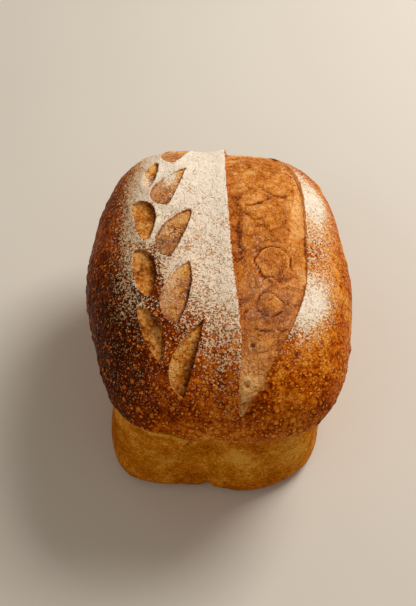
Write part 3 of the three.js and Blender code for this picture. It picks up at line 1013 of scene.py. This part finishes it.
def slash_paint(p, slash_cut):
    """The slash's edge for painting, blurred and uneven at its low right side in front."""
    x, y = p[:, 0], p[:, 1]
    soft = smooth(0.55, 0.95, slash_place(x, y)[0]) * smooth(0, -40, y)
    uneven = slash_cut * (1 - 0.86 * soft) + soft * (0.10 * lattice_noise(p, 4, 124) - 0.02)
    return np.where(slash_cut > OUTSIDE, uneven, slash_cut)


def torn_tone(p):
    """Paler and darker places of the slash's floor. It is palest towards its front end, painted light where
    that end faces down and away from the lamp, and has painted shade in the fold along the first tear.
    """
    x, y = p[:, 0], p[:, 1]
    t = slash_place(x, y)[0]
    # Painted light on the slash's front end, which faces down and away from the lamp.
    tip = 0.38 * smooth(-50, -82, y) * (1 - 0.75 * t)
    left_edge = 0.14 * smooth(0.34, 0.05, t) * smooth(-20, -52, y)
    # Painted shade in the soft fold along the first tear.
    long_tear_shade = 0.16 * bell(path_distance(x, y, TEARS[0][0]), 2.4)
    return 0.02 + tip + left_edge + patches(x, y, TORN_TONES) - long_tear_shade


def dust_fields(p, slash_cut, leaf_cut, puffed):
    """Thin dust in the cuts, a painted sheen on the slash's floor, and pale flecks that are partly dust and
    partly painted glints.
    """
    x, y = p[:, 0], p[:, 1]
    across = leaf_tones(x, y)[1]
    film = (0.30 + 0.34 * lattice_noise(p, 5, 126)) * (1.25 - across)
    film = film + patches(x, y, LEAF_FILM) + 0.5 * smooth(0.35, 0.0, across)
    # Painted sheen on the slash's floor, partly pink dust.
    sheen = (0.04 + 0.16 * between(y, -84, -60, -40, 0)) * (1 + lattice_noise(p, 6, 127))
    in_slash, in_leaf = slash_cut > 0, leaf_cut > 0
    dust_and_sheen = np.where(in_leaf, np.clip(film, 0, 0.75) * puffed, np.where(in_slash, np.clip(sheen, 0, 0.6), 0))
    # Pale flecks on the slash's floor, partly dust and partly painted glints.
    streaks = 0.14 + 0.60 * np.clip(patches(x, y, STREAKS), 0, 1)
    return dust_and_sheen, np.where(in_slash, streaks, np.where(in_leaf, 0.10 + 0.45 * puffed, 0))


def paint(mesh):
    """Works out, for every point, which part of the loaf it is and how it is baked."""
    count = len(mesh.vertices)
    p = np.empty(count * 3, np.float32)
    mesh.vertices.foreach_get("co", p)
    p = p.reshape(-1, 3).astype(float) / MM
    x, y, z = p.T
    slash = outline_distance(x, y, slash_outline())
    each_leaf = [outline_distance(x, y, leaf_outline(leaf)) for leaf in LEAVES]
    leaf = np.max(each_leaf, axis=0)
    risen = np.max([away for away, row in zip(each_leaf, LEAVES) if row[7]], axis=0)
    slash_cut, leaf_cut = cut_fields(p, slash, leaf)
    dust_and_sheen, fleck = dust_fields(p, slash_cut, leaf_cut, smooth(-0.5, 1, risen))
    tone_and_shade, across = leaf_tones(x, y)[:2]
    right_side, fold = fold_side(x, y)
    lips = np.min([path_distance(x, z, path) for path, depth in BASE_CREASES], axis=0)
    fields = {
        "slash": slash_paint(p, slash_cut),
        "leaf": leaf_cut,
        "edge": np.where(z > CUT_LEVEL, np.minimum(np.abs(slash), np.abs(leaf)), NO_EDGE),
        "hollow": floor_relief(p),
        "seam": seam_distance(*warped(p)),
        "ledge": right_side * fold * (slash_cut > -1),
        "tip": torn_tone(p),
        # Painted shadow along each leaf cut's right edge, where its wall is deepest.
        "tone_and_shade": tone_and_shade - 0.34 * smooth(2.0, 0.2, np.abs(leaf)) * across ** 1.5,
        "dust_and_sheen": dust_and_sheen,
        "fleck": fleck,
        "bake": bake_field(p),
        "zone": blister_zone(p),
        "blister": blisters(p)[1],
        "flour": flour_density(p, slash_cut, leaf_cut),
        # Painted shade: flour on the left flank is tinted golden-tan, as flour looks in warm shade.
        "shaded_flank_tint": smooth(-34, -52, x),
        "base": base_field(p),
        "tone": base_tone(p),
        "lip": np.where(y < FRONT_RELIEF[0], lips, NO_EDGE),
    }
    for name, values in fields.items():
        layer = mesh.attributes.new(name, "FLOAT", "POINT")
        layer.data.foreach_set("value", values.astype(np.float32))


def build_loaf():
    """The closed loaf with its cuts taken out down to their floors."""
    points, triangles, dome_count = loaf_surface()
    normals = point_normals(points, triangles)
    x, y = points[:, 0], points[:, 1]
    on_dome = np.arange(len(points)) < dome_count
    broad, grain = lumps(points), crust_grain(points)
    lips = np.where(on_dome, lip_rise(x, y) + leaf_rims(x, y), 0)
    left, right = slash_edge(y, 1), slash_edge(y, 2)
    in_slash = on_dome & (x > left - 1) & (x < right + 1) & (np.abs(y) < SLASH[0][0]) & (y > SLASH[-1][0])
    relief = broad + np.where(in_slash, SLASH_GRAIN, 1) * grain
    plain_depth = floor_depth(x, y)
    depth = plain_depth - floor_relief(points) - np.where(in_slash, fold_step(points), 0)
    least = np.where(in_slash, SLASH_LEAST_DEPTH - lips, LEAF_LEAST_DEPTH)
    floors = np.where(on_dome & (plain_depth > 0), broad - np.maximum(depth, least), relief)
    loaf = mesh_object("bread", points + normals * (relief + lips)[:, None], triangles)
    below = mesh_object("below", points + normals * floors[:, None], triangles)
    cuts = cutter("slash", slash_outline(), SLASH_UNDERCUT)
    for leaf in LEAVES:
        apply_boolean(cuts, cutter("leaf", leaf_outline(leaf), LEAF_UNDERCUT), "UNION")
    apply_boolean(cuts, below, "DIFFERENCE")
    apply_boolean(loaf, cuts, "DIFFERENCE")
    paint(loaf.data)
    loaf.data.transform(Matrix.Translation((CENTRE_SHIFT[0] * MM, CENTRE_SHIFT[1] * MM, 0)))
    for polygon in loaf.data.polygons:
        polygon.use_smooth = True
    return loaf


class Shader:
    """Short helpers that add and link material nodes."""

    def __init__(self, name):
        self.material = bpy.data.materials.new(name)
        self.material.use_nodes = True
        self.tree = self.material.node_tree
        self.tree.nodes.clear()
        self.place = self.node("TexCoord").outputs["Object"]

    def node(self, kind, inputs=(), **settings):
        """A node with its settings, and its inputs by name or number as values or links."""
        made = self.tree.nodes.new("ShaderNode" + kind)
        for key, value in settings.items():
            setattr(made, key, value)
        for key, value in dict(inputs).items():
            if isinstance(value, bpy.types.NodeSocket):
                self.tree.links.new(value, made.inputs[key])
            else:
                made.inputs[key].default_value = value
        return made

    def attribute(self, name):
        return self.node("Attribute", attribute_name=name).outputs["Fac"]

    def noise(self, size, detail=3.0, roughness=0.55, distortion=0.0, place=None, output="Fac"):
        inputs = {
            "Vector": place or self.place,
            "Scale": 1 / (size * MM),
            "Detail": detail,
            "Roughness": roughness,
            "Distortion": distortion,
        }
        return self.node("TexNoise", inputs).outputs[output]

    def stretched(self, factors):
        return self.node("VectorMath", {0: self.place, 1: factors}, operation="MULTIPLY").outputs[0]

    def pushed(self, size, amount):
        """The object's place pushed about by a noise, so that round spots come out uneven."""
        inputs = {0: self.noise(size, 1.0, 0.5, output="Color"), 1: (amount * MM,) * 3, 2: self.place}
        return self.node("VectorMath", inputs, operation="MULTIPLY_ADD").outputs[0]

    def spots(self, size, place=None):
        made = self.node("TexVoronoi", {"Vector": place or self.place, "Scale": 1 / (size * MM)})
        return made.outputs["Distance"], made.outputs["Color"]

    def math(self, operation, a, b=0.0, clamp=False):
        return self.node("Math", {0: a, 1: b}, operation=operation, use_clamp=clamp).outputs[0]

    def add(self, *values):
        return reduce(partial(self.math, "ADD"), values)

    def times(self, *values):
        return reduce(partial(self.math, "MULTIPLY"), values)

    def most(self, *values):
        return reduce(partial(self.math, "MAXIMUM"), values)

    def less(self, a, b):
        return self.math("SUBTRACT", a, b)

    def vary(self, value, amount):
        """A noise centred on 0.5 turned into a push either way."""
        return self.times(self.less(value, 0.5), amount)

    def span(self, value, low, high, out_low=0.0, out_high=1.0, curve="SMOOTHSTEP"):
        inputs = {"Value": value, "From Min": low, "From Max": high, "To Min": out_low, "To Max": out_high}
        return self.node("MapRange", inputs, interpolation_type=curve).outputs["Result"]

    def channel(self, colour, index=0):
        return self.node("SeparateColor", {0: colour}).outputs[index]

    def mix(self, share, a, b):
        a, b = (c if isinstance(c, bpy.types.NodeSocket) else (*c, 1) for c in (a, b))
        return self.node("Mix", {0: share, 6: a, 7: b}, data_type="RGBA").outputs[2]

    def blend(self, share, a, b):
        return self.node("Mix", {0: share, 2: a, 3: b}, data_type="FLOAT").outputs[0]

    def ramp(self, value, stops):
        made = self.node("ValToRGB", {0: value})
        elements = made.color_ramp.elements
        while len(elements) < len(stops):
            elements.new(0.5)
        for element, (position, colour) in zip(elements, stops):
            element.position = position
            element.color = (*colour, 1)
        return made.outputs[0]

    def bump(self, height, distance, strength=1.0):
        inputs = {"Strength": strength, "Distance": distance * MM, "Height": height}
        return self.node("Bump", inputs).outputs[0]

    def finish(self, colour, roughness, normal, specular):
        inputs = {"Base Color": colour, "Roughness": roughness, "Normal": normal}
        shader = self.node("BsdfPrincipled", inputs)
        shader.inputs["Specular IOR Level"].default_value = specular
        self.node("OutputMaterial", {0: shader.outputs[0]})
        return self.material


def crust_fields(s):
    """The noises, spots and painted fields that the crust's parts share."""
    f = SimpleNamespace()
    f.grit = s.noise(GRIT_SIZE, 1.0, 0.5)
    f.fine = s.noise(FINE_SIZE, 3.0, 0.6)
    f.middle = s.noise(MIDDLE_SIZE, 4.0, 0.6)
    f.broad = s.noise(BROAD_SIZE, 2.0, 0.5)
    f.grainy = s.noise(GRAIN_SIZE, 2.0, 0.6)
    f.in_slash = s.span(s.attribute("slash"), -0.10, 0.12)
    f.in_leaf = s.span(s.attribute("leaf"), -0.10, 0.12)
    f.in_cut = s.math("ADD", f.in_slash, f.in_leaf, True)
    f.on_base = s.span(s.add(s.attribute("base"), s.vary(f.fine, 0.9)), 0.25, 0.75)
    f.edge = s.attribute("edge")
    # Painted light and shade: the cuts' colour follows their floor relief, lighter on ridges and darker in
    # hollows.
    f.hollow = s.times(s.attribute("hollow"), 0.30)
    f.seam = s.span(s.attribute("seam"), 0.80, 0.20)
    f.lip = s.span(s.attribute("lip"), 0.9, 0.3)
    crinkle = s.noise(5.5, 2.0, 0.55, 1.5, s.stretched((1.0, 0.6, 1.0)))
    f.crinkle = s.span(s.math("ABSOLUTE", s.less(crinkle, 0.5)), 0.022, 0.0)
    f.fleck = s.times(s.span(s.noise(1.7, 1.5, 0.5, 1.0), 0.60, 0.68), s.attribute("fleck"))
    tiny, colour = s.spots(SPECK_CELL)
    f.tiny_number = s.channel(colour)
    f.speck = s.times(s.span(tiny, 0.42, 0.20), s.span(f.tiny_number, 0.35, 0.45))
    f.pits = s.times(s.span(tiny, 0.24, 0.10), s.span(f.tiny_number, 0.90, 0.93))
    f.pores = s.times(s.span(tiny, 0.34, 0.12), s.span(f.tiny_number, 0.78, 0.84))
    return f


def add_small_blisters(s, f):
    """Blisters finer than the mesh: each one's own number, share out, cover and height."""
    near, colour = s.spots(BLISTER_CELL, s.pushed(FINE_SIZE, 2.4))
    f.number = s.channel(colour)
    f.out = s.math("DIVIDE", near, s.span(f.number, 0.0, 1.0, 0.14, 0.56, "LINEAR"))
    f.zone = s.span(s.attribute("zone"), 0.0, 1.0, 0.35, 1.0)
    f.blister = s.times(s.span(f.out, 1.0, 0.4), f.zone)
    dome = s.math("SQRT", s.math("SUBTRACT", 1.0, s.times(f.out, f.out), True))
    f.dome = s.times(dome, s.span(f.number, 0.0, 1.0, 0.3, 1.3, "LINEAR"), f.zone)


def crust_colour(s, f):
    """Baked crust, with painted shade in the grooves round the blisters and painted highlights on the
    highest ones, whose tops are also paler of their own.
    """
    large = s.attribute("blister")
    # Painted shade: dark rings just outside the small and the large blisters.
    groove_shade = s.times(s.span(f.out, 0.8, 1.0), s.span(f.out, 1.6, 1.05))
    ring = s.times(s.span(large, 0.8, 1.02), s.span(large, 1.5, 1.08))
    tall = s.times(s.span(large, 1.0, 0.5), f.zone)
    # Painted highlight: a pale cream spot on each blister's top, partly the thinner, paler crust there.
    small_top_highlight = s.times(s.span(f.out, 0.5, 0.15), s.span(f.number, 0.3, 0.5))
    cap = s.times(s.most(s.span(large, 0.5, 0.15), small_top_highlight), f.zone)
    cap = s.times(cap, s.span(f.fine, 0.35, 0.65, 0.20, 0.75))
    dark = s.add(s.attribute("bake"), s.vary(f.middle, 1.0), s.vary(f.fine, 0.8), s.vary(f.broad, 0.5))
    dark = s.span(dark, 0.0, 1.0, 0.02, 0.96, "LINEAR")
    lift = s.most(s.times(tall, 0.85), s.times(f.blister, 0.92), s.times(f.speck, 0.70))
    puffed = s.add(s.span(f.tiny_number, 0.0, 1.0, 0.0, 0.16), s.times(dark, 0.20))
    # Painted highlight: the small blisters' middles are lightened so that they look domed.
    puffed = s.less(puffed, s.times(s.span(f.out, 0.6, 0.1), 0.10))
    # Painted shade darkens the crust in the rings round the blisters.
    dark = s.add(dark, s.times(s.most(groove_shade, ring), 0.24))
    return s.mix(cap, s.ramp(s.blend(lift, dark, puffed), CRUST_STOPS), BLISTER_TOP_HIGHLIGHT)


def torn_colour(s, f):
    """The slash's floor: painted shade in its hollows, pits, creases and seams and along its edges, and
    painted light on its ridges.
    """
    torn = s.add(0.60, s.vary(f.middle, 0.38), s.vary(f.fine, 0.35), s.vary(f.broad, 0.3), f.hollow)
    torn = s.add(torn, s.vary(f.grainy, 0.35), s.times(s.attribute("ledge"), 0.14), s.attribute("tip"))
    # Painted shade in the pits, creases and seams.
    for mark, amount in ((f.pits, 0.30), (f.crinkle, 0.14), (f.seam, 0.20)):
        torn = s.less(torn, s.times(mark, amount))
    # Painted shade along the slash's edges.
    return s.ramp(s.less(torn, s.span(f.edge, 0.9, 0.1, 0.0, 0.08)), BAND_STOPS)


def leaf_colour(s, f):
    """The leaf cuts' floors, with painted shade along their edges, in their seams and hollows, and painted
    light on their raised parts.
    """
    leaf = s.add(0.54, s.vary(f.middle, 1.2), s.vary(f.fine, 1.2), s.vary(f.grit, 0.5))
    leaf = s.less(s.add(leaf, f.hollow, s.attribute("tone_and_shade")), s.times(f.seam, 0.30))
    # Painted shade along the leaf cuts' edges.
    return s.ramp(s.less(leaf, s.span(f.edge, 1.2, 0.1, 0.0, 0.12)), LEAF_STOPS)


def base_colour(s, f):
    """The golden sides baked against the tin, with painted shade in their pores and creases and a painted
    highlight on the lip over the crease.
    """
    sides = s.add(0.53, s.attribute("tone"), s.vary(f.fine, 0.7), s.vary(f.middle, 0.7))
    # Painted highlight: a pale band beside the creases.
    lip_highlight = s.span(s.attribute("lip"), 3.2, 1.3, 0.0, 0.20)
    sides = s.add(sides, s.vary(f.grainy, 0.75), s.times(f.speck, 0.16), lip_highlight)
    # Painted shade in the creases.
    sides = s.less(sides, s.times(f.lip, 0.40))
    # Painted shade in the pores.
    return s.ramp(s.less(sides, s.times(f.pores, 0.30)), BASE_STOPS)


def cut_dust(s, f, colour):
    """Thin dust over the cuts' floors with a painted sheen on the slash, and pale flecks that are partly
    dust and partly painted glints.
    """
    dust_and_sheen = s.times(s.attribute("dust_and_sheen"), s.span(f.grit, 0.25, 0.7, 0.25, 1.0))
    dust_and_sheen = s.times(dust_and_sheen, s.span(f.seam, 0.0, 1.0, 1.0, 0.3))
    return s.mix(f.fleck, s.mix(dust_and_sheen, colour, PINK_DUST_AND_SHEEN), FLECK_AND_GLINT)


def flour_layer(s, f, colour):
    """Flour: a film where it is thick, and single grains where it is sparse."""
    density = s.attribute("flour")
    patchy = s.add(s.vary(f.middle, 0.8), s.vary(f.fine, 0.5), s.vary(f.grit, 0.35))
    local = s.math("ADD", density, s.times(patchy, s.span(density, 0.0, 0.3)), True)
    grain, grain_colour = s.spots(FLOUR_CELL)
    shape = s.times(s.less(s.times(local, 2.0), 1.0), s.less(grain, 0.38))
    level = s.add(s.less(local, s.channel(grain_colour)), s.times(shape, 0.6))
    f.flour = s.times(s.span(level, -0.12, 0.14), s.span(density, 0.01, 0.05))
    film = s.times(s.span(density, 0.40, 0.95, 0.0, 0.85), s.span(patchy, -0.15, 0.1, 0.55, 1.0))
    thick = s.times(f.flour, s.span(density, 0.1, 0.9, 0.72, 1.0))
    dusty = s.mix(s.span(density, 0.35, 1.0), SPARSE_FLOUR, FLOUR)
    tint = s.span(s.channel(grain_colour, 1), 0.2, 1.0)
    browned = s.times(tint, s.span(density, 0.4, 1.0, 0.7, 0.25))
    # Painted shade: golden-tan flour grains on the left flank.
    browned = s.most(browned, s.times(s.attribute("shaded_flank_tint"), 0.60))
    return s.mix(thick, s.mix(film, colour, THIN_FLOUR), s.mix(browned, dusty, TAN_GRAIN))


def crust_roughness(s, f):
    rough = s.less(s.span(f.fine, 0.35, 0.65, 0.30, 0.44), s.times(f.blister, 0.06))
    for share, value in ((f.in_cut, 0.40), (f.on_base, 0.70), (f.flour, 0.95)):
        rough = s.blend(share, rough, value)
    return rough


def crust_height(s, f):
    """Relief finer than the mesh, which only turns the light."""
    raised = s.add(
        f.dome,
        s.times(f.fine, 0.8),
        s.times(f.speck, 0.35),
        s.times(f.grainy, f.on_base, 1.2),
        s.times(f.fleck, 0.3),
        s.times(f.flour, 0.25),
    )
    sunk = s.add(
        s.times(f.pits, f.in_slash, 0.6),
        s.times(f.crinkle, f.in_slash, 0.5),
        s.times(f.seam, f.in_cut, 0.5),
        s.times(f.pores, f.on_base, 0.8),
        s.times(f.lip, f.on_base),
    )
    return s.less(raised, sunk)


def bread_material():
    s = Shader("bread_crust")
    f = crust_fields(s)
    add_small_blisters(s, f)
    colour = s.mix(f.in_slash, crust_colour(s, f), torn_colour(s, f))
    colour = cut_dust(s, f, s.mix(f.in_leaf, colour, leaf_colour(s, f)))
    colour = s.mix(f.on_base, colour, base_colour(s, f))
    colour = flour_layer(s, f, colour)
    normal = s.bump(crust_height(s, f), BUMP_HEIGHT)
    return s.finish(colour, crust_roughness(s, f), normal, SPECULAR)


def floor_material():
    s = Shader("pale_floor")
    tone = s.mix(s.noise(160.0, 2.0), *FLOOR_TONES)
    return s.finish(tone, 0.85, s.bump(s.noise(3.0, 2.0), 0.05, 0.2), 0.2)


def add_floor():
    mesh = bpy.data.meshes.new("floor")
    reach = FLOOR_REACH
    corners = [(-reach, -reach, 0), (reach, -reach, 0), (reach, reach, 0), (-reach, reach, 0)]
    mesh.from_pydata(corners, [], [(0, 1, 2, 3)])
    floor = linked_object("floor", mesh)
    mesh.materials.append(floor_material())


def aim(thing, target):
    thing.rotation_euler = (Vector(target) - thing.location).to_track_quat("-Z", "Y").to_euler()


def add_light(name, place, size, power, colour):
    data = bpy.data.lights.new(name, "AREA")
    data.size = size
    data.energy = power
    data.color = colour
    light = linked_object(name, data)
    light.location = place
    aim(light, LIGHT_TARGET)


def turned(point):
    """A point of the camera's plan turned about the loaf and moved with it, in metres."""
    cos, sin = math.cos(CAMERA_TURN), math.sin(CAMERA_TURN)
    x, y, z = point
    return Vector((cos * x - sin * y + CENTRE_SHIFT[0], sin * x + cos * y + CENTRE_SHIFT[1], z)) * MM


def add_camera():
    data = bpy.data.cameras.new("camera")
    data.sensor_width = SENSOR_SIZE
    data.lens = CAMERA_PIXELS * SENSOR_SIZE / IMAGE_HEIGHT
    camera = linked_object("camera", data)
    back = np.array([0, -math.cos(CAMERA_ELEVATION), math.sin(CAMERA_ELEVATION)])
    camera.location = turned(np.array(CAMERA_TARGET) + back * CAMERA_DISTANCE)
    aim(camera, turned(CAMERA_TARGET))
    bpy.context.scene.camera = camera


def add_world():
    world = bpy.data.worlds.new("studio")
    world.use_nodes = True
    back = world.node_tree.nodes["Background"]
    back.inputs[0].default_value = (*WORLD_COLOUR, 1)
    back.inputs[1].default_value = WORLD_STRENGTH
    bpy.context.scene.world = world


def main():
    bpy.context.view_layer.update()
    scene = bpy.context.scene
    scene.view_settings.view_transform = "Standard"
    add_camera()
    add_world()
    add_floor()
    for light in LIGHTS:
        add_light(*light)
    loaf = build_loaf()
    loaf.data.materials.clear()
    loaf.data.materials.append(bread_material())
    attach(loaf, "root")
    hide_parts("loaf")


main()
